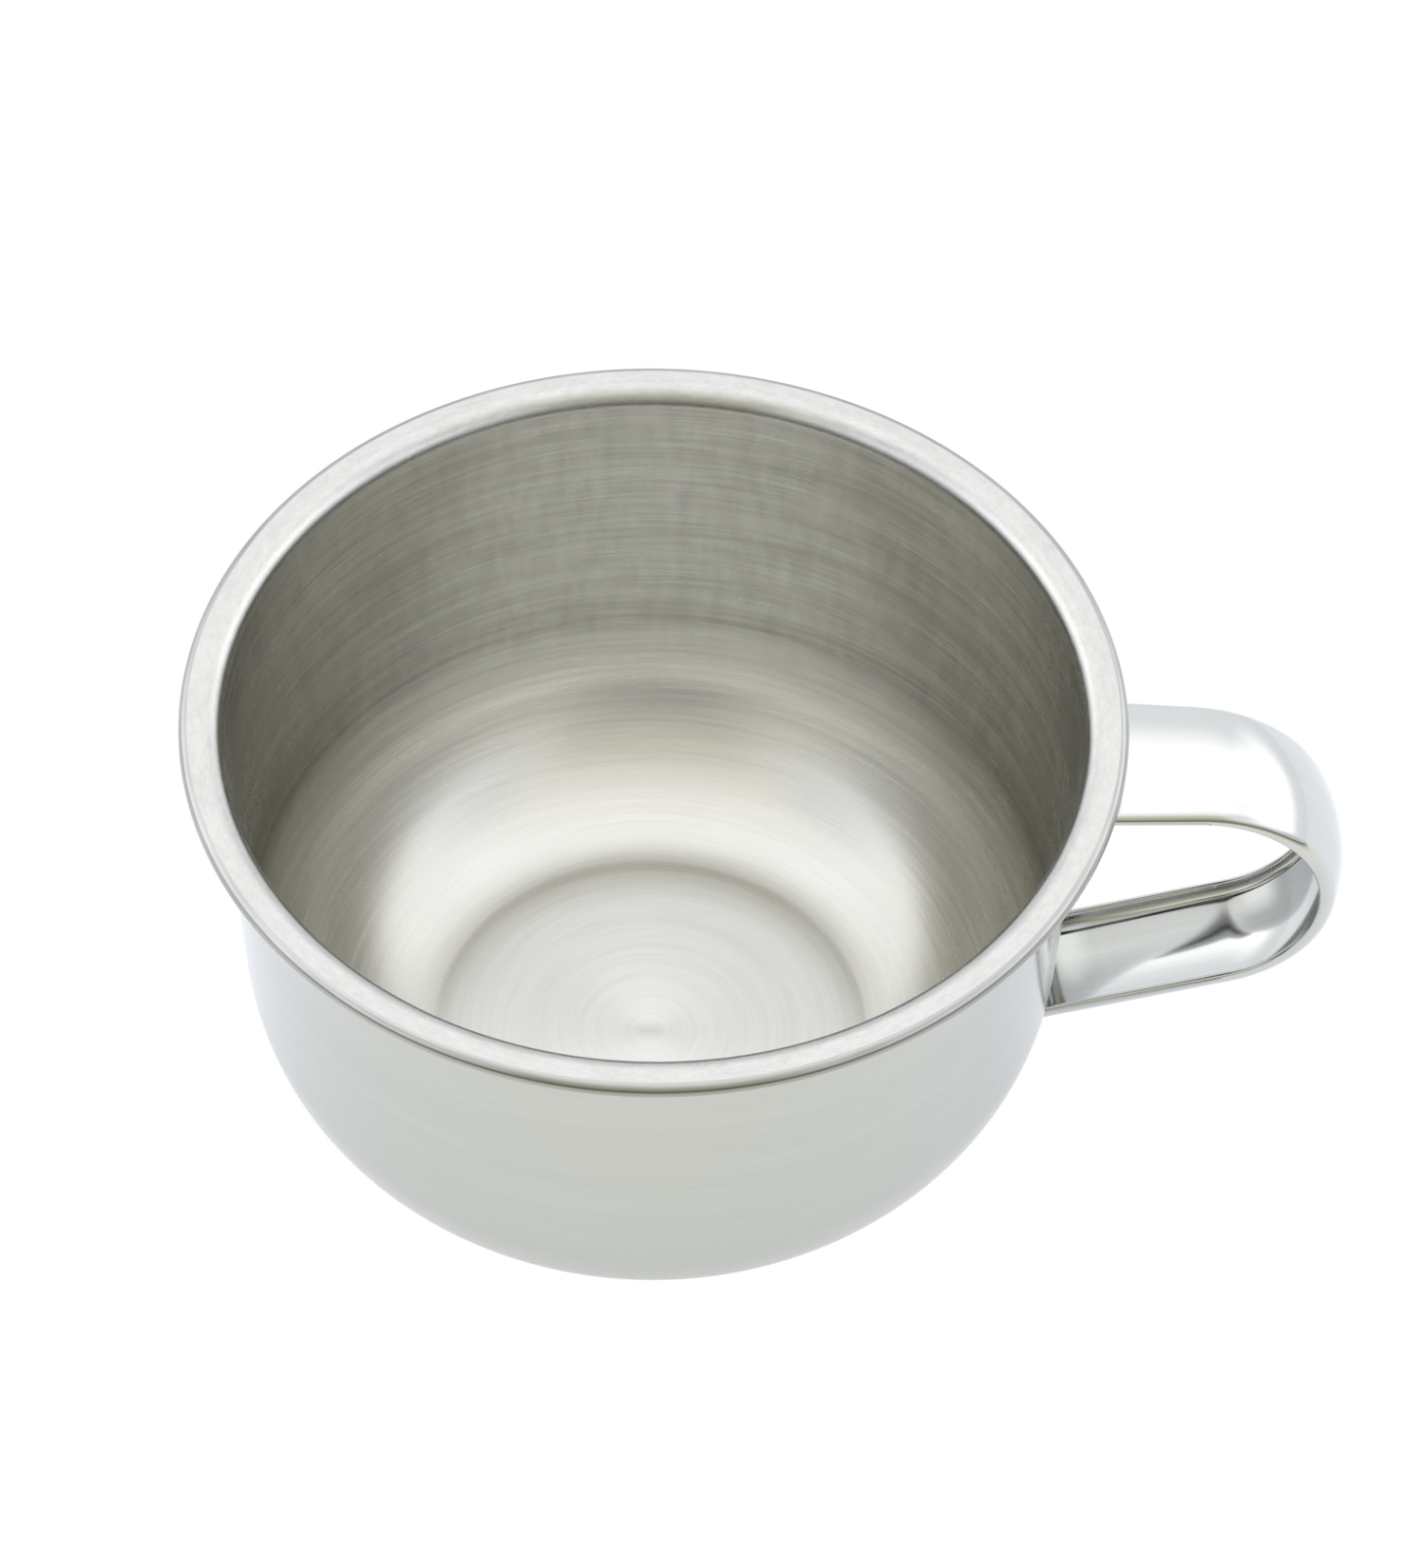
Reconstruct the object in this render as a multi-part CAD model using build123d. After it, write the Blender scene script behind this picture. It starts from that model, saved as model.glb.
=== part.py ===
from build123d import *
import os
from math import asin, cos, degrees, radians, sin

# Shaving mug: a deep-drawn stainless steel bowl with a hemmed rim, and one pressed steel
# strap welded to its side as a handle.
# Frame: origin at the middle of the resting face, +Z up, the handle toward +X. Millimetres.

# The bowl, whose sizes are those of the outside of the sheet unless they say otherwise
height = 55.5
rim_r = 50.0
sheet = 0.6
wall_top_r = 46.0  # the wall where it meets the rim
wall_draft = 3.0  # degrees that the wall leans in toward the base
shoulder_r = 22.0  # the curve from the wall round to the base
base_edge_r = 10.0  # the gentle bend that ends the flat of the base
base_edge_turn = 6.0  # degrees
rim_bend_r = 1.4  # under the rim, where the wall turns outward
hem_gap = 0.6  # between the rim and the sheet folded under it
hem_return = 2.0  # how far the folded sheet comes back

# The handle strap, a channel with a crowned back and two short turned-in edges
strap_sheet = 0.7
strap_top = 50.6  # height of the crown of the upper limb
strap_reach = 74.2  # furthest point from the bowl's axis
strap_bend_r = 16.6
lower_slope = 20.5  # degrees that the lower limb falls toward the bowl
upper_overrun = 2.0  # how far inside the bowl's wall the line of the strap starts
lower_overrun = 6.0  # and ends, before it is trimmed to the wall
crown_rise = 1.35  # how far the curve of the back would stand above its edges

# Its section at three places: the share of its length there, the width, the radius of the
# turned edges, and the depth from crown to free edges
upper_section = (0, 17.0, 1.0, 2.4)
middle_section = (0.5, 13.6, 1.5, 2.8)
lower_section = (1, 13.5, 2.8, 3.6)

# The welds, which fill the gap left at each end of the strap
weld_gap = 0.25
weld_leg = 0.45  # how far the weld laps along the strap
weld_build = 0.2  # how far the weld stands off the strap's surface

wall_angle = 90 - wall_draft
hem_r = hem_gap / 2


def turn_run(radius, start, end):
    """Sideways distance covered by an arc that turns from one slope to another, in degrees."""
    return radius * (sin(radians(end)) - sin(radians(start)))


def turn_rise(radius, start, end):
    """Height gained by the same arc."""
    return radius * (cos(radians(start)) - cos(radians(end)))


rim_underside = height - sheet
shoulder_top = turn_rise(base_edge_r, 0, base_edge_turn) + turn_rise(
    shoulder_r, base_edge_turn, wall_angle
)
wall_top = rim_underside - turn_rise(rim_bend_r, 0, wall_angle)
wall_length = (wall_top - shoulder_top) / sin(radians(wall_angle))
wall_run = wall_length * cos(radians(wall_angle))
curve_run = turn_run(base_edge_r, 0, base_edge_turn) + turn_run(
    shoulder_r, base_edge_turn, wall_angle
)
base_flat_r = wall_top_r - wall_run - curve_run
rim_flat = rim_r - (hem_r + sheet) - wall_top_r - turn_run(rim_bend_r, 0, wall_angle)


def body_line(depth):
    """Half outline of the base and wall, at a depth into the sheet from its outside."""
    base = Line((0, depth), (base_flat_r, depth))
    edge = JernArc(base @ 1, base % 1, base_edge_r - depth, base_edge_turn)
    shoulder = JernArc(edge @ 1, edge % 1, shoulder_r - depth, wall_angle - base_edge_turn)
    wall = Line(shoulder @ 1, shoulder @ 1 + wall_length * (shoulder % 1))
    return base, edge, shoulder, wall


def sheet_line(depth):
    """Half outline of the whole bowl, carried on over the rim and back under it."""
    body = body_line(depth)
    corner = JernArc(body[-1] @ 1, body[-1] % 1, rim_bend_r + depth, -wall_angle)
    rim = Line(corner @ 1, corner @ 1 + (rim_flat, 0))
    hem = JernArc(rim @ 1, rim % 1, hem_r + depth, -180)
    back = Line(hem @ 1, hem @ 1 - (hem_return, 0))
    return *body, corner, rim, hem, back


def close_face(one_side, other_side):
    """The face between two chains of edges that run the same way."""
    ends = [Line(one_side[0] @ 0, other_side[0] @ 0), Line(one_side[-1] @ 1, other_side[-1] @ 1)]
    return make_face([*one_side, *other_side, *ends])


def make_bowl():
    profile = close_face(sheet_line(0), sheet_line(sheet))
    return revolve(Plane.XZ * profile, Axis.Z)


def filled_body(grow):
    """Everything inside the base and wall, grown outward, for trimming the handle."""
    body = body_line(-grow)
    top = body[-1] @ 1
    lid = Polyline(top, (top.X, height), (0, height), body[0] @ 0)
    return revolve(Plane.XZ * make_face([*body, lid]), Axis.Z)


def strap_line(half_width, edge_r, strap_depth, depth):
    """Outline of the channel's back and edges, at a depth into the strap from its outside."""
    crown_r = (half_width**2 + crown_rise**2) / (2 * crown_rise)
    crown_half = degrees(asin((half_width - edge_r) / (crown_r - edge_r)))
    edge_centre = (crown_r - edge_r) * cos(radians(crown_half)) - crown_r
    side = half_width - depth
    rise = Line((side, -strap_depth), (side, edge_centre))
    near = JernArc(rise @ 1, rise % 1, edge_r - depth, 90 - crown_half)
    crown = JernArc(near @ 1, near % 1, crown_r - depth, 2 * crown_half)
    far = JernArc(crown @ 1, crown % 1, edge_r - depth, 90 - crown_half)
    fall = Line(far @ 1, (-side, -strap_depth))
    return rise, near, crown, far, fall


def strap_section(width, edge_r, strap_depth, build):
    """The channel's cross-section, thickened on both sides by build."""
    outside = strap_line(width / 2, edge_r, strap_depth, -build)
    inside = strap_line(width / 2, edge_r, strap_depth, strap_sheet + build)
    return close_face(outside, inside)


def strap_path():
    """Line of the crown, from inside the bowl's wall, out, round and back into the wall."""
    upper = Line((wall_top_r - upper_overrun, strap_top), (strap_reach - strap_bend_r, strap_top))
    bend = JernArc(upper @ 1, upper % 1, strap_bend_r, lower_slope - 180)
    lower_run = (bend @ 1).X - wall_top_r + lower_overrun
    lower_end = bend @ 1 + lower_run / cos(radians(lower_slope)) * (bend % 1)
    lower = Line(bend @ 1, lower_end)
    return Plane.XZ * Wire([upper, bend, lower])


def full_strap(build):
    """The strap before its ends are trimmed to the wall."""
    path = strap_path()
    sections = []
    for share, *sizes in (upper_section, middle_section, lower_section):
        station = Plane(path @ share, x_dir=(0, 1, 0), z_dir=path % share)
        sections.append(station * strap_section(*sizes, build))
    return sweep(sections, path, multisection=True)


def make_strap():
    return full_strap(0) - filled_body(weld_gap)


def make_welds(strap):
    """The upper and the lower weld, each lapping the end of the strap and meeting the wall."""
    beads = full_strap(weld_build) & filled_body(weld_gap + weld_leg)
    beads = beads - filled_body(0) - strap
    ends = sorted(beads.solids(), key=lambda solid: solid.center().Z)
    return ends[-1], ends[0]


bowl = make_bowl()
handle_strap = make_strap()
upper_weld, lower_weld = make_welds(handle_strap)

os.makedirs("parts", exist_ok=True)
nodes = {
    "bowl": bowl,
    "handle_strap": handle_strap,
    "upper_weld": upper_weld,
    "lower_weld": lower_weld,
}
for name, shape in nodes.items():
    export_step(shape, f"parts/{name}.step")
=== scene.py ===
import math
import bpy
import numpy as np
from mathutils import Matrix, Vector


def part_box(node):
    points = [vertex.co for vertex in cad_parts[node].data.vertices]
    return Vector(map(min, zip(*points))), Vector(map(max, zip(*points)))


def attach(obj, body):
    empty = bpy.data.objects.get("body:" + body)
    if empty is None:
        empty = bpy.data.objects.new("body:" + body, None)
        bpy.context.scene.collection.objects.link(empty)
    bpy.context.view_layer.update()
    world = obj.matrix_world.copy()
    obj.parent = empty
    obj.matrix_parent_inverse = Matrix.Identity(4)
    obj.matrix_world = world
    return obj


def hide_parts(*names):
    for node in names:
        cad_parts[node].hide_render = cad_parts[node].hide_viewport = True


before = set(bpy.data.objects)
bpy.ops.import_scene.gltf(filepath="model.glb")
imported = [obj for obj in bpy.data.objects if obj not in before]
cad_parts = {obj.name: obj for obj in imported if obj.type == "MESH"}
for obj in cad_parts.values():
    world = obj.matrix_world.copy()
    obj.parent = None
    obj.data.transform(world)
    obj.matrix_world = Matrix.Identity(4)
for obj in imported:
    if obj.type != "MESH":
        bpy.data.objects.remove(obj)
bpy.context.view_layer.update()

# Sizes are in metres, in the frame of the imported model: origin at the middle of the resting
# face, +Z up, the handle toward +X.
MM = 0.001

# The bowl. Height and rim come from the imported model, the rest are the sizes of the same sheet.
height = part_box("bowl")[1].z
rim_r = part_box("bowl")[1].y
sheet = 0.6 * MM
wall_top_r = 46.0 * MM
wall_angle = 87.0  # degrees from level
shoulder_r = 22.0 * MM
base_edge_r = 10.0 * MM
base_edge_turn = 6.0  # degrees
rim_bend_r = 1.4 * MM
hem_r = 0.3 * MM
hem_return = 2.0 * MM

# What spinning leaves on the floor of the bowl: three waves, added up, that make shallow rings, each
# with its height, pitch and shift, and a dimple at the centre
floor_waves = (
    (0.0020 * MM, 1.90 * MM, 0.4),
    (0.0010 * MM, 1.13 * MM, 2.0),
    (0.0005 * MM, 0.71 * MM, 4.4),
)
rings_full_r = 3.0 * MM  # the rings fade in up to here
rings_end_r = 28.0 * MM
rings_fade = 6.0 * MM  # how far before their end they begin to fade out
dimple_depth = 0.05 * MM
dimple_r = 3.4 * MM

# The handle strap
strap_sheet = 0.7 * MM
strap_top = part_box("handle_strap")[1].z
strap_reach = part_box("handle_strap")[1].x
strap_bend_r = 16.6 * MM
lower_slope = 20.5  # degrees
upper_overrun = 2.0 * MM  # how far inside the bowl's wall the line of the strap starts
lower_overrun = 6.0 * MM  # and ends, before it is trimmed to the wall
crown_rise = 1.35 * MM
# The width of its section, the radius of its turned edges and its depth: at the upper end, half way
# along and at the lower end
strap_sections = (
    (17.0 * MM, 1.0 * MM, 2.4 * MM),
    (13.6 * MM, 1.5 * MM, 2.8 * MM),
    (13.5 * MM, 2.8 * MM, 3.6 * MM),
)

# The welds
weld_gap = 0.25 * MM
weld_leg = 0.45 * MM
weld_build = 0.2 * MM
weld_root = 0.1 * MM  # how far a bead reaches into the strap's sheet
# Two waves of ripples along a bead: the share of its size, the length of one radian, and the shift
weld_ripples = (
    (0.10, 0.16 * MM, 0.0),
    (0.06, 0.41 * MM, 1.0),
)

# How finely the meshes are drawn
LATHE_STEPS = 288
FLOOR_STEPS = 90
UNDERSIDE_STEPS = 3
UPPER_LIMB_STEPS = 24
BEND_STEPS = 89
LOWER_LIMB_STEPS = 36
BEAD_STEPS = 6
HALVINGS = 40

# The stretches of the bowl's half outline, in order from the middle of the base to the hem's edge
BASE, BASE_EDGE, SHOULDER, WALL, CORNER, RIM, HEM, FOLD = range(8)
OUTSIDE = 10  # added to a stretch's number on the outside of the sheet

# The bowl's finishes, in the order of its material slots. The last is painted shade: darker steel round
# the rim's edge and under the rim.
SATIN_INSIDE, SATIN_RIM, POLISHED_OUTSIDE, SHADED_EDGE_AND_UNDERSIDE = range(4)


# ---------------------------------------------------------------- camera

def make_camera():
    """A long lens, well above the rim, looking down into the mug from the front."""
    distance = 0.700
    elevation = math.radians(50.13)
    roll = math.radians(1.31)
    aim = Vector((6.30 * MM, 0, height - 11.8 * MM))  # a little toward the handle, below the rim
    back = Vector((0, -math.cos(elevation), math.sin(elevation)))
    right = Vector((1, 0, 0))
    up = back.cross(right)
    tilted_right = math.cos(roll) * right + math.sin(roll) * up
    tilted_up = back.cross(tilted_right)
    data = bpy.data.cameras.new("camera")
    data.lens = 150.94
    data.clip_start = 0.05
    data.clip_end = 20
    camera = bpy.data.objects.new("camera", data)
    turned = Matrix((tilted_right, tilted_up, back)).transposed()
    camera.matrix_world = Matrix.Translation(aim + distance * back) @ turned.to_4x4()
    bpy.context.scene.collection.objects.link(camera)
    bpy.context.scene.camera = camera


make_camera()


# ---------------------------------------------------------------- the bowl's mesh

def run(start, heading, length, steps):
    """Points along a straight run in a half outline, without its first, and the heading."""
    shares = np.linspace(0, 1, steps + 1)[1:, None]
    way = np.array([math.cos(heading), math.sin(heading)])
    return start + shares * length * way, heading


def turn(start, heading, radius, degrees, steps):
    """Points along an arc, without its first, and the new heading. Degrees are positive to the left."""
    side = math.copysign(1, degrees)
    centre = start + side * radius * np.array([-math.sin(heading), math.cos(heading)])
    angles = heading + np.radians(degrees) * np.linspace(0, 1, steps + 1)[1:]
    points = centre + side * radius * np.stack([np.sin(angles), -np.cos(angles)], -1)
    return points, angles[-1]


def rise(radius, start, end):
    """Height gained by an arc that turns from one slope to another, in degrees."""
    return radius * (math.cos(math.radians(start)) - math.cos(math.radians(end)))


def reach(radius, start, end):
    """Sideways distance covered by the same arc."""
    return radius * (math.sin(math.radians(end)) - math.sin(math.radians(start)))


shoulder_turn = wall_angle - base_edge_turn
shoulder_top = rise(base_edge_r, 0, base_edge_turn) + rise(shoulder_r, base_edge_turn, wall_angle)
wall_height = height - sheet - rise(rim_bend_r, 0, wall_angle) - shoulder_top
wall_length = wall_height / math.sin(math.radians(wall_angle))
curve_reach = reach(base_edge_r, 0, base_edge_turn) + reach(shoulder_r, base_edge_turn, wall_angle)
base_flat_r = wall_top_r - wall_length * math.cos(math.radians(wall_angle)) - curve_reach
rim_flat = rim_r - hem_r - sheet - wall_top_r - reach(rim_bend_r, 0, wall_angle)


def sheet_line(depth, base_steps):
    """One side of the bowl's sheet, at a depth from its outside, and the stretch that each point
    ends. A stretch below is a run or a turn, its size, and the steps that it is drawn in."""
    stretches = [
        (run, (base_flat_r, base_steps)),
        (turn, (base_edge_r - depth, base_edge_turn, 6)),
        (turn, (shoulder_r - depth, shoulder_turn, 48)),
        (run, (wall_length, 24)),
        (turn, (rim_bend_r + depth, -wall_angle, 10)),
        (run, (rim_flat, 10)),
        (turn, (hem_r + depth, -180, 18)),
        (run, (hem_return, 3)),
    ]
    points, numbers, heading = [np.array([[0, depth]])], [BASE], 0.0
    for number, (move, sizes) in enumerate(stretches):
        new, heading = move(points[-1][-1], heading, *sizes)
        points.append(new)
        numbers += [number] * len(new)
    return np.concatenate(points), np.array(numbers)


def spun_relief(r):
    """Height of the rings and the dimple that spinning leaves on the floor, at a radius."""
    rings = sum(size * np.sin(2 * np.pi * r / pitch + shift) for size, pitch, shift in floor_waves)
    fade_in = np.clip(r / rings_full_r, 0, 1)
    fade_out = np.clip((rings_end_r - r) / rings_fade, 0, 1)
    return rings * fade_in * fade_out - dimple_depth * np.exp(-((r / dimple_r) ** 2))


def finish_of(stretch):
    """The finish of a stretch. Round the rim's edge and under the rim the steel is rougher than the
    polished outside and painted darker, as painted shade.
    """
    if stretch <= WALL:
        return SATIN_INSIDE
    if stretch <= RIM:
        return SATIN_RIM
    if stretch <= FOLD or stretch >= OUTSIDE + CORNER:
        return SHADED_EDGE_AND_UNDERSIDE
    return POLISHED_OUTSIDE


def add_piece(name, mesh, node):
    """A piece of the mug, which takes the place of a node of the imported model."""
    piece = bpy.data.objects.new(name, mesh)
    bpy.context.scene.collection.objects.link(piece)
    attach(piece, "root")
    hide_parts(node)
    return piece


def make_bowl():
    """The bowl as one closed sheet: its inside, round the hem's edge, and back down its outside."""
    inside, inside_numbers = sheet_line(sheet, FLOOR_STEPS)
    outside, outside_numbers = sheet_line(0.0, UNDERSIDE_STEPS)
    low = inside_numbers <= SHOULDER
    inside[low, 1] += spun_relief(inside[low, 0])
    lip, _ = turn(inside[-1], math.pi, sheet / 2, 180, 6)
    lip_numbers = [FOLD] * (len(lip) - 1)
    outline = np.concatenate([inside[1:], lip[:-1], outside[:0:-1]])
    numbers = np.concatenate([inside_numbers[1:], lip_numbers, outside_numbers[:0:-1] + OUTSIDE])
    angles = np.linspace(0, 2 * np.pi, LATHE_STEPS, endpoint=False)
    rows = np.empty((len(outline), LATHE_STEPS, 3))
    rows[:, :, :2] = outline[:, None, :1] * np.stack([np.cos(angles), np.sin(angles)], -1)
    rows[:, :, 2] = outline[:, None, 1]
    index = np.arange(len(outline) * LATHE_STEPS).reshape(rows.shape[:2])
    faces = []
    finishes = []
    for i in range(len(outline) - 1):
        a, b = index[i], index[i + 1]
        faces += np.stack([a, b, np.roll(b, -1), np.roll(a, -1)], -1).tolist()
        finishes += [finish_of(numbers[i + 1])] * LATHE_STEPS
    # A fan of triangles closes the sheet at the middle of the floor and of the underside
    middles = [(0, 0, inside[0, 1]), (0, 0, outside[0, 1])]
    first, last = index[0], index[-1]
    faces += [(index.size, b, a) for a, b in zip(np.roll(first, -1).tolist(), first.tolist())][::-1]
    faces += [(index.size + 1, a, b) for a, b in zip(np.roll(last, -1).tolist(), last.tolist())]
    finishes += [SATIN_INSIDE] * LATHE_STEPS + [POLISHED_OUTSIDE] * LATHE_STEPS
    mesh = bpy.data.meshes.new("mug_bowl")
    mesh.from_pydata(rows.reshape(-1, 3).tolist() + middles, [], faces)
    mesh.polygons.foreach_set("material_index", finishes)
    mesh.shade_smooth()
    mesh.update()
    return add_piece("mug_bowl", mesh, "bowl")


# ---------------------------------------------------------------- the handle's meshes

outside_line = sheet_line(0.0, UNDERSIDE_STEPS)[0]
body_points = outside_line[outside_line[:, 1] <= height - 2 * sheet]
body_points = body_points[body_points[:, 0] <= wall_top_r]


def wall_radius(z):
    """Radius of the outside of the wall at a height."""
    return np.interp(z, body_points[:, 1], body_points[:, 0])


def section_outline(width, edge_r, strap_depth, grow):
    """The strap's closed cross-section as (across, outward) points, grown all round."""
    half = width / 2
    crown_r = (half**2 + crown_rise**2) / (2 * crown_rise)
    crown_half = math.degrees(math.asin((half - edge_r) / (crown_r - edge_r)))
    edge_centre = (crown_r - edge_r) * math.cos(math.radians(crown_half)) - crown_r
    end_r = strap_sheet / 2
    flange = edge_centre + strap_depth - end_r

    def side(depth):
        start = np.array([half - depth, -strap_depth + end_r])
        points, heading = [start[None]], math.pi / 2
        stretches = [
            (run, (flange, 3)),
            (turn, (edge_r - depth, 90 - crown_half, 8)),
            (turn, (crown_r - depth, 2 * crown_half, 24)),
            (turn, (edge_r - depth, 90 - crown_half, 8)),
            (run, (flange, 3)),
        ]
        for move, sizes in stretches:
            new, heading = move(points[-1][-1], heading, *sizes)
            points.append(new)
        return np.concatenate(points)

    outer, inner = side(-grow), side(strap_sheet + grow)
    far_end, _ = turn(outer[-1], -math.pi / 2, end_r + grow, 180, 8)
    near_end, _ = turn(inner[0], -math.pi / 2, end_r + grow, 180, 8)
    return np.concatenate([outer, far_end[:-1], inner[::-1], near_end[:-1]])


bend_start_x = strap_reach - strap_bend_r
upper_length = bend_start_x - (wall_top_r - upper_overrun)
bend_turn = math.radians(180 - lower_slope)
bend_length = strap_bend_r * bend_turn
bend_end_x = bend_start_x + strap_bend_r * math.sin(bend_turn)
lower_length = (bend_end_x - wall_top_r + lower_overrun) / math.cos(math.radians(lower_slope))
path_length = upper_length + bend_length + lower_length


def path_frame(s):
    """Position of the crown line in (x, z) and its outward direction, at distances along it."""
    bent = np.clip(s - upper_length, 0, bend_length) / strap_bend_r
    before = np.minimum(s, upper_length) - upper_length
    after = np.maximum(s - upper_length - bend_length, 0)
    x = bend_start_x + before + strap_bend_r * np.sin(bent) + after * np.cos(bent)
    z = strap_top - strap_bend_r * (1 - np.cos(bent)) - after * np.sin(bent)
    return x, z, np.sin(bent), np.cos(bent)


def strap_points(s, grow):
    """The outline's points, each at its own distance along the strap."""
    upper, middle, lower = (section_outline(*sizes, grow) for sizes in strap_sections)
    first = np.clip(2 * s / path_length, 0, 1)[..., None]
    second = np.clip(2 * s / path_length - 1, 0, 1)[..., None]
    section = upper + first * (middle - upper) + second * (lower - middle)
    x, z, out_x, out_z = path_frame(s)
    return np.stack([x + section[..., 1] * out_x, section[..., 0], z + section[..., 1] * out_z], -1)


def meeting(inner, outer, grow, gap):
    """Distance along the strap at which each outline point stands a gap off the bowl's wall,
    between a distance inside the bowl and one outside it."""
    low = np.full(len(section_outline(*strap_sections[0], grow)), inner)
    high = np.full_like(low, outer)
    for _ in range(HALVINGS):
        middle = (low + high) / 2
        points = strap_points(middle, grow)
        clear = np.hypot(points[:, 0], points[:, 1]) - wall_radius(points[:, 2]) > gap
        high = np.where(clear, middle, high)
        low = np.where(clear, low, middle)
    return (low + high) / 2


def upper_meeting(grow, gap):
    return meeting(0.0, upper_length, grow, gap)


def lower_meeting(grow, gap):
    return meeting(path_length, upper_length + bend_length, grow, gap)


def grid_mesh(name, rows, closed_rows, caps=()):
    """A mesh from rows of points, each row joined to the next and round on itself. A row that
    caps names is filled by a face."""
    rows = np.asarray(rows)
    count, width = rows.shape[:2]
    index = np.arange(count * width).reshape(count, width)
    faces = []
    for i in range(count if closed_rows else count - 1):
        a, b = index[i], index[(i + 1) % count]
        faces += np.stack([a, np.roll(a, -1), np.roll(b, -1), b], -1).tolist()
    faces += [index[i].tolist() if i else index[i][::-1].tolist() for i in caps]
    mesh = bpy.data.meshes.new(name)
    mesh.from_pydata(rows.reshape(-1, 3).tolist(), [], faces)
    mesh.validate()
    mesh.shade_smooth()
    return mesh


def spread(start, end, steps):
    """Evenly spaced values from start to end, without the last."""
    return [start + share * (end - start) for share in np.linspace(0, 1, steps, endpoint=False)]


def make_strap():
    """The strap. Its rows of points follow the wall at its ends and are square to it at the bend."""
    start, end = upper_meeting(0.0, weld_gap), lower_meeting(0.0, weld_gap)
    bend_open = np.full_like(start, upper_length)
    bend_close = bend_open + bend_length
    stations = spread(start, bend_open, UPPER_LIMB_STEPS)
    stations += spread(bend_open, bend_close, BEND_STEPS)
    stations += spread(bend_close, end, LOWER_LIMB_STEPS) + [end]
    rows = [strap_points(s, 0.0) for s in stations]
    mesh = grid_mesh("mug_handle_strap", rows, False, caps=(0, len(rows) - 1))
    along = mesh.attributes.new("along", "FLOAT", "POINT")
    along.data.foreach_set("value", np.concatenate(stations).astype(np.float32))
    return add_piece("mug_handle_strap", mesh, "handle_strap")


def make_weld(name, node, find):
    """A bead round the end of the strap, a quarter round in section, with faint ripples. Find gives
    the meeting of that end with the wall."""
    outline = section_outline(*strap_sections[0], 0.0)
    around = np.concatenate([[0], np.cumsum(np.hypot(*np.diff(outline, axis=0).T))])
    ripple = 1 + sum(size * np.sin(around / length + shift) for size, length, shift in weld_ripples)
    rows = []
    for angle in np.linspace(0, np.pi / 2, BEAD_STEPS + 1):
        grow, gap = weld_build * math.cos(angle), (weld_gap + weld_leg) * math.sin(angle)
        grown = strap_points(find(grow, gap), grow)
        flat = strap_points(find(0.0, gap), 0.0)
        rows.append(flat + ripple[:, None] * (grown - flat))
    for gap in (weld_gap + 0.5 * weld_leg, 0.0):
        rows.append(strap_points(find(-weld_root, gap), -weld_root))
    if find is lower_meeting:  # the strap runs toward the wall there, which turns the faces over
        rows.reverse()
    return add_piece(name, grid_mesh(name, rows, True), node)


# ---------------------------------------------------------------- materials

class Nodes:
    """A short way to write a node tree."""

    def __init__(self, tree):
        self.tree = tree
        tree.nodes.clear()

    def add(self, kind, **settings):
        node = self.tree.nodes.new(kind)
        for key, value in settings.items():
            setattr(node, key, value)
        return node

    def link(self, source, target):
        self.tree.links.new(source, target)

    def feed(self, sockets, values):
        """Each value, a number or an output, into its socket."""
        for socket, value in zip(sockets, values):
            if isinstance(value, (int, float)):
                socket.default_value = value
            else:
                self.link(value, socket)

    def math(self, operation, *values):
        node = self.add("ShaderNodeMath", operation=operation)
        self.feed(node.inputs, values)
        return node.outputs[0]

    def plus(self, first, second):
        return self.math("ADD", first, second)

    def minus(self, first, second):
        return self.math("SUBTRACT", first, second)

    def times(self, first, second):
        return self.math("MULTIPLY", first, second)

    def over(self, first, second):
        return self.math("DIVIDE", first, second)

    def combine(self, x, y, z):
        node = self.add("ShaderNodeCombineXYZ")
        self.feed(node.inputs, (x, y, z))
        return node.outputs[0]

    def split(self, vector):
        node = self.add("ShaderNodeSeparateXYZ")
        self.link(vector, node.inputs[0])
        return node.outputs

    def place(self, kind):
        return self.add("ShaderNodeTexCoord").outputs[kind]

    def noise(self, vector, scale, detail=2.0, roughness=0.5):
        node = self.add("ShaderNodeTexNoise")
        self.link(vector, node.inputs["Vector"])
        node.inputs["Scale"].default_value = scale
        node.inputs["Detail"].default_value = detail
        node.inputs["Roughness"].default_value = roughness
        return node.outputs["Fac"]

    def ramp(self, value, low, high, out_low=0, out_high=1):
        """From out_low where the value is low, to out_high where it is high, and level beyond."""
        node = self.add("ShaderNodeMapRange")
        self.link(value, node.inputs["Value"])
        ends = ("From Min", low), ("From Max", high), ("To Min", out_low), ("To Max", out_high)
        for name, number in ends:
            node.inputs[name].default_value = number
        return node.outputs["Result"]

    def stops(self, value, stops):
        """A colour from a row of (position, colour) stops."""
        node = self.add("ShaderNodeValToRGB")
        self.link(value, node.inputs["Fac"])
        elements = node.color_ramp.elements
        while len(elements) < len(stops):
            elements.new(0.5)
        for element, (position, colour) in zip(elements, stops):
            element.position = position
            element.color = (*colour, 1)
        return node.outputs["Color"]

    def tinted(self, colour, share, tint):
        """A colour multiplied by a tint, as far as share says."""
        node = self.add("ShaderNodeMix", data_type="RGBA", blend_type="MULTIPLY")
        self.link(share, node.inputs["Factor"])
        self.link(colour, node.inputs["A"])
        node.inputs["B"].default_value = (*tint, 1)
        return node.outputs["Result"]

    def colours(self, value, dark, light):
        """A colour between dark and light, or past them where the value is below 0 or above 1."""
        node = self.add("ShaderNodeMix", data_type="RGBA", clamp_factor=False)
        self.link(value, node.inputs["Factor"])
        node.inputs["A"].default_value = (*dark, 1)
        node.inputs["B"].default_value = (*light, 1)
        return node.outputs["Result"]


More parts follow.
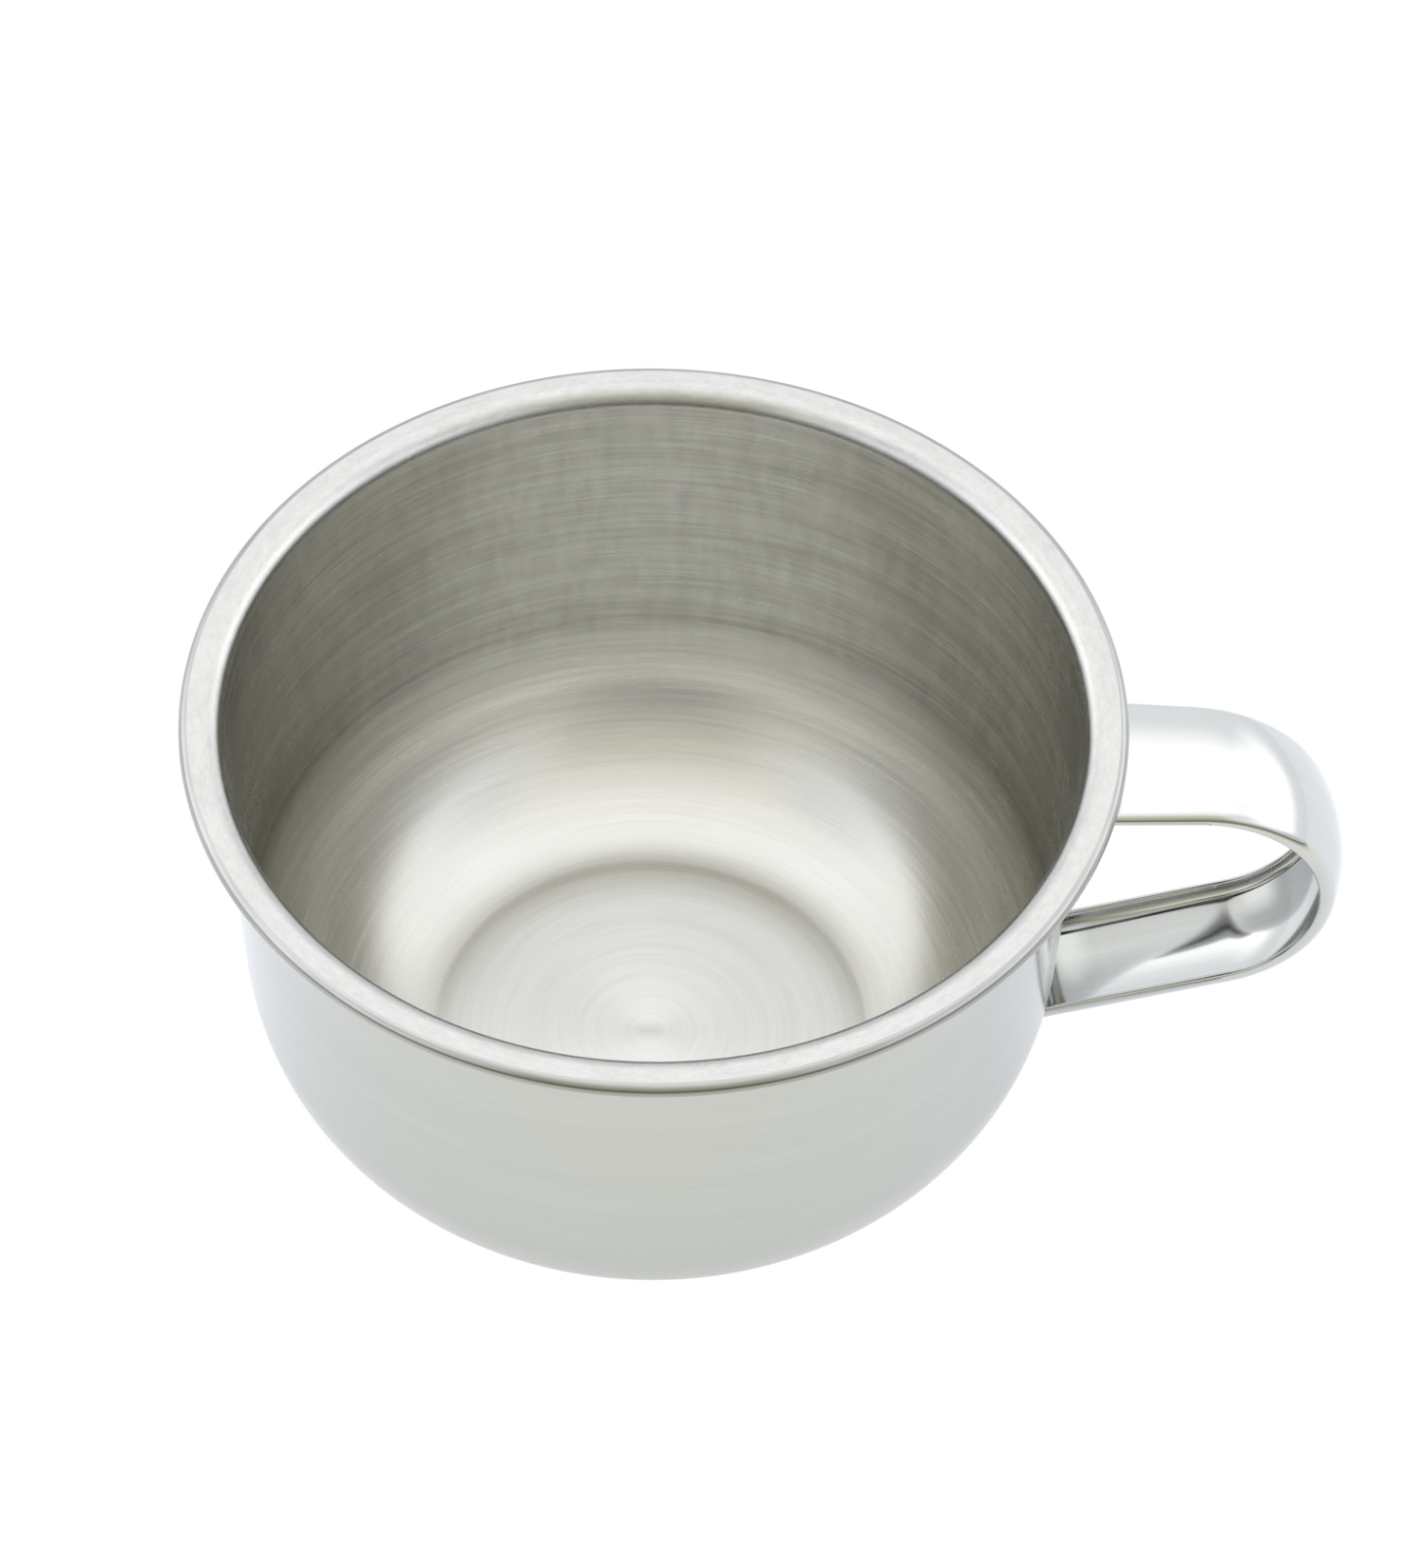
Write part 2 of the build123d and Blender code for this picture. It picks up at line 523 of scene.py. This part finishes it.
# The marks of a finish are noise at three scales, each with its share of the whole. The scales are
# parts of the finest one.
MARK_NOISES = (  # scale, detail, share
    (1.0, 2.0, 0.35),
    (0.35, 3.0, 0.35),
    (0.12, 2.0, 0.30),
)
MARK_RANGE = (0.36, 0.64)  # the noise that is darkest and the noise that is lightest
CLOUD_NOISE = (90.0, 3.0)  # scale and detail of the soft clouds in the roughness
CLOUD_SHARE = 0.4
ROUGHNESS_RANGE = (0.3, 0.7)  # the noise that is smoothest and the noise that is roughest

# How the inside of the bowl differs from top to bottom. A fade is where a change begins and where
# it is complete: heights, unless it says otherwise.
WALL_FADE = (14 * MM, 22 * MM)
# painted shade: the upper wall's steel made darker
WALL_PAINTED_SHADE = (0.85, 0.85, 0.825)
WALL_STREAKS = 0.36  # strength of the faint upright marks
STREAK_NOISE = (26.0, 4.0, 0.6)  # its scale, detail and roughness
STREAK_SLANT = 6.0  # how fast the upright marks change with height
SHOULDER_FADE_IN = (8 * MM, 12 * MM)
SHOULDER_FADE_OUT = (20 * MM, 15 * MM)
# painted highlight: the shoulder's steel made lighter
SHOULDER_PAINTED_HIGHLIGHT = (1.12, 1.115, 1.10)
FLOOR_FADE = (26.5 * MM, 21 * MM)  # radius, to which the height is added FLOOR_LIFT times
FLOOR_LIFT = 4.0
# painted light: the floor's steel made lighter and bluer
FLOOR_PAINTED_LIGHT = (1.42, 1.44, 1.50)
FLOOR_ROUGHNESS = 0.26  # added to that of the wall
CONTRAST_FADE = (3 * MM, 20 * MM)
CONTRAST = (0.4, 1.25)  # of the marks, on the floor and on the wall
CENTRE_FADE = (2.0 * MM, 0.5 * MM)  # radius
JOIN_FADE = (0.9 * MM, 0.3 * MM)  # height above or below the join of shoulder and wall
DARK_MARK = 0.45  # how much darker the marks are at the centre and at the join


def inside_share(n, mixed, x, y, z, radius):
    """How light the marks inside the bowl are: streaked on the wall, stronger there than on the
    floor, and darker at the centre and where shoulder and wall join."""
    around = n.combine(n.over(x, radius), n.over(y, radius), n.times(z, STREAK_SLANT))
    streaks = n.minus(n.noise(around, *STREAK_NOISE), 0.5)
    streaks = n.times(streaks, n.times(n.ramp(z, *WALL_FADE), WALL_STREAKS))
    share = n.ramp(n.plus(mixed, streaks), *MARK_RANGE)
    contrast = n.ramp(z, *CONTRAST_FADE, *CONTRAST)
    share = n.plus(n.times(n.minus(share, 0.5), contrast), 0.5)
    from_join = n.math("ABSOLUTE", n.minus(z, shoulder_top))
    centre_mark = n.ramp(radius, *CENTRE_FADE, 0, DARK_MARK)
    join_mark = n.ramp(from_join, *JOIN_FADE, 0, DARK_MARK)
    return n.minus(share, n.plus(centre_mark, join_mark))


def inside_look(n, colour, roughness, z, radius):
    """Colour and roughness inside the bowl: its wall darker as painted shade, its shoulder lighter as a
    painted highlight, and its matt floor lighter and bluer as painted light.
    """
    shoulder_highlight_share = n.times(n.ramp(z, *SHOULDER_FADE_IN), n.ramp(z, *SHOULDER_FADE_OUT))
    on_floor = n.ramp(n.plus(radius, n.times(z, FLOOR_LIFT)), *FLOOR_FADE)
    colour = n.tinted(colour, shoulder_highlight_share, SHOULDER_PAINTED_HIGHLIGHT)
    colour = n.tinted(colour, n.ramp(z, *WALL_FADE), WALL_PAINTED_SHADE)
    colour = n.tinted(colour, on_floor, FLOOR_PAINTED_LIGHT)
    return colour, n.plus(roughness, n.times(on_floor, FLOOR_ROUGHNESS))


def steel(name, dark, light, rough, grain, anisotropic=0.0, stretch=0.03, rings=True, inside=False):
    """Stainless steel. Grain is the size of its finest marks, rough the range of its roughness, and
    stretch how short the marks are along their length. Rings turns the marks into circles round the
    bowl's axis rather than lines along the strap. Inside has its own wall and floor."""
    material = bpy.data.materials.new(name)
    material.use_nodes = True
    n = Nodes(material.node_tree)
    output = n.add("ShaderNodeOutputMaterial")
    shader = n.add("ShaderNodeBsdfPrincipled")
    n.link(shader.outputs[0], output.inputs["Surface"])
    place = n.place("Object")
    x, y, z = n.split(place)
    if rings:
        radius = n.math("SQRT", n.plus(n.times(x, x), n.times(y, y)))
        marks = n.combine(n.times(x, stretch), n.times(y, stretch), n.plus(radius, z))
        tangent = n.add("ShaderNodeTangent", direction_type="RADIAL", axis="Z")
        n.link(tangent.outputs[0], shader.inputs["Tangent"])
    else:
        along = n.add("ShaderNodeAttribute", attribute_name="along").outputs["Fac"]
        marks = n.combine(n.times(along, stretch), y, 0.0)
    mixed = 0.0
    for scale, detail, share in MARK_NOISES:
        mixed = n.plus(mixed, n.times(n.noise(marks, scale / grain, detail), share))
    cloud = n.times(n.noise(place, *CLOUD_NOISE), CLOUD_SHARE)
    shade = n.plus(n.times(mixed, 1 - CLOUD_SHARE), cloud)
    roughness = n.ramp(shade, *ROUGHNESS_RANGE, *rough)
    if inside:
        colour = n.colours(inside_share(n, mixed, x, y, z, radius), dark, light)
        colour, roughness = inside_look(n, colour, roughness, z, radius)
    else:
        colour = n.colours(n.ramp(mixed, *MARK_RANGE), dark, light)
    n.link(colour, shader.inputs["Base Color"])
    n.link(roughness, shader.inputs["Roughness"])
    shader.inputs["Metallic"].default_value = 1.0
    shader.inputs["Anisotropic"].default_value = anisotropic
    shader.inputs["Anisotropic Rotation"].default_value = 0.25  # of a full turn
    return material


# ---------------------------------------------------------------- the mug

def finish_mug():
    """Each piece of the mug with its finishes, the bowl's in the order of its slots."""
    bowl = make_bowl()
    bowl.data.materials.append(steel(
        "satin_inside", (0.50, 0.495, 0.47), (0.66, 0.655, 0.625), (0.22, 0.30), 0.25 * MM,
        anisotropic=0.5, inside=True,
    ))
    bowl.data.materials.append(steel(
        "satin_rim", (0.44, 0.44, 0.425), (0.52, 0.52, 0.505), (0.20, 0.30), 0.24 * MM,
        anisotropic=0.4, stretch=0.4,
    ))
    bowl.data.materials.append(steel(
        "polished_outside", (0.56, 0.565, 0.555), (0.59, 0.595, 0.585), (0.08, 0.15), 0.3 * MM,
    ))
    # painted shade: darker steel round the rim's edge and under the rim, for the dark line along the edge
    # and the shade beneath it
    bowl.data.materials.append(steel(
        "painted_shade_edge_and_underside", (0.33, 0.33, 0.32), (0.44, 0.44, 0.43), (0.16, 0.24), 0.2 * MM,
    ))
    make_strap().data.materials.append(steel(
        "polished_strap", (0.585, 0.59, 0.575), (0.625, 0.63, 0.62), (0.08, 0.12), 0.3 * MM,
        rings=False,
    ))
    weld_steel = steel("dressed_weld", (0.40, 0.39, 0.36), (0.55, 0.54, 0.50), (0.25, 0.40), 0.3 * MM)
    make_weld("mug_upper_weld", "upper_weld", upper_meeting).data.materials.append(weld_steel)
    make_weld("mug_lower_weld", "lower_weld", lower_meeting).data.materials.append(weld_steel)


finish_mug()


# ---------------------------------------------------------------- studio

WHITE = (1, 1, 1)

# The colour of the table, in light that it gives and light that it throws back, from the shaded
# part in front of the mug, SHADE_REACH away, to under the mug. The first number is the share of
# the way.
SHADE_REACH = 0.24
TABLE = (
    (0.0, (0.12, 0.12, 0.085)),
    (0.62, (0.44, 0.443, 0.41)),
    (0.80, (0.455, 0.46, 0.45)),
    (1.0, (0.465, 0.477, 0.50)),
)

# The tent over the mug, by degrees from the horizon behind the camera up and over to the opposite
# one, and its two sides, by the height of the direction, 0 level and 1 straight up
ARCH = (
    (0, (0.32, 0.315, 0.24)),
    (28, (0.76, 0.75, 0.63)),
    (44, (0.86, 0.85, 0.74)),
    (62, (1.26, 1.25, 1.16)),
    (100, (1.74, 1.75, 1.78)),
    (130, (1.80, 1.82, 1.82)),
    (150, (1.17, 1.20, 1.24)),
    (180, (1.05, 1.08, 1.12)),
)
SIDES = (
    (0.0, (1.05, 1.08, 1.12)),
    (0.15, (1.12, 1.15, 1.19)),
    (0.35, (2.20, 2.21, 2.20)),
    (0.55, (2.25, 2.26, 2.25)),
    (0.8, (1.50, 1.51, 1.52)),
)
# Where the arch gives way to the sides, and where the front flaps begin, by how far a direction
# points sideways, and for the flaps also by how far it points away from the camera
SIDES_FADE = (0.35, 0.75)
FLAPS_FADE = (0.4, 0.6)
FLAPS_FRONT_FADE = (0.1, -0.3)
FLAPS_TINT = (0.72, 0.73, 0.76)


def glow(n, colour):
    """Light of one colour, a constant or an output."""
    node = n.add("ShaderNodeEmission")
    if isinstance(colour, tuple):
        node.inputs["Color"].default_value = (*colour, 1)
    else:
        n.link(colour, node.inputs["Color"])
    return node.outputs[0]


def white_for_camera(n, cast):
    """Plain white where the camera looks straight at it, and another shader for light and reflections."""
    pick = n.add("ShaderNodeMixShader")
    n.link(n.add("ShaderNodeLightPath").outputs["Is Camera Ray"], pick.inputs[0])
    n.link(cast, pick.inputs[1])
    n.link(glow(n, WHITE), pick.inputs[2])
    return pick.outputs[0]


def make_floor():
    """A white table lit from below, which falls into shade in front of the mug."""
    size = 12.0
    corners = [(-size, -size, 0), (size, -size, 0), (size, size, 0), (-size, size, 0)]
    mesh = bpy.data.meshes.new("studio_floor")
    mesh.from_pydata(corners, [], [(0, 1, 2, 3)])
    floor = bpy.data.objects.new("studio_floor", mesh)
    bpy.context.scene.collection.objects.link(floor)
    material = bpy.data.materials.new("studio_floor")
    material.use_nodes = True
    n = Nodes(material.node_tree)
    output = n.add("ShaderNodeOutputMaterial")
    y = n.split(n.place("Object"))[1]
    table = n.stops(n.ramp(y, -SHADE_REACH, 0.0), TABLE)
    paper = n.add("ShaderNodeBsdfDiffuse")
    n.link(table, paper.inputs["Color"])
    lit = n.add("ShaderNodeAddShader")
    n.link(paper.outputs[0], lit.inputs[0])
    n.link(glow(n, table), lit.inputs[1])
    n.link(white_for_camera(n, lit.outputs[0]), output.inputs["Surface"])
    mesh.materials.append(material)


def make_world():
    """A white tent, brightest at its sides and open toward the camera, where the room is darker and
    the tent's two front flaps are in shade."""
    world = bpy.data.worlds.new("studio_world")
    bpy.context.scene.world = world
    world.use_nodes = True
    n = Nodes(world.node_tree)
    output = n.add("ShaderNodeOutputWorld")
    x, y, z = n.split(n.place("Generated"))
    half_turns = n.over(n.math("ARCTAN2", z, n.times(y, -1)), math.pi)
    tent = n.add("ShaderNodeMix", data_type="RGBA")
    sideways = n.math("ABSOLUTE", x)
    n.link(n.ramp(sideways, *SIDES_FADE), tent.inputs["Factor"])
    n.link(n.stops(half_turns, [(angle / 180, colour) for angle, colour in ARCH]), tent.inputs["A"])
    n.link(n.stops(z, SIDES), tent.inputs["B"])
    flaps = n.times(n.ramp(sideways, *FLAPS_FADE), n.ramp(y, *FLAPS_FRONT_FADE))
    light = n.tinted(tent.outputs["Result"], flaps, FLAPS_TINT)
    n.link(white_for_camera(n, glow(n, light)), output.inputs["Surface"])


make_floor()
make_world()
bpy.context.scene.view_settings.view_transform = "Standard"
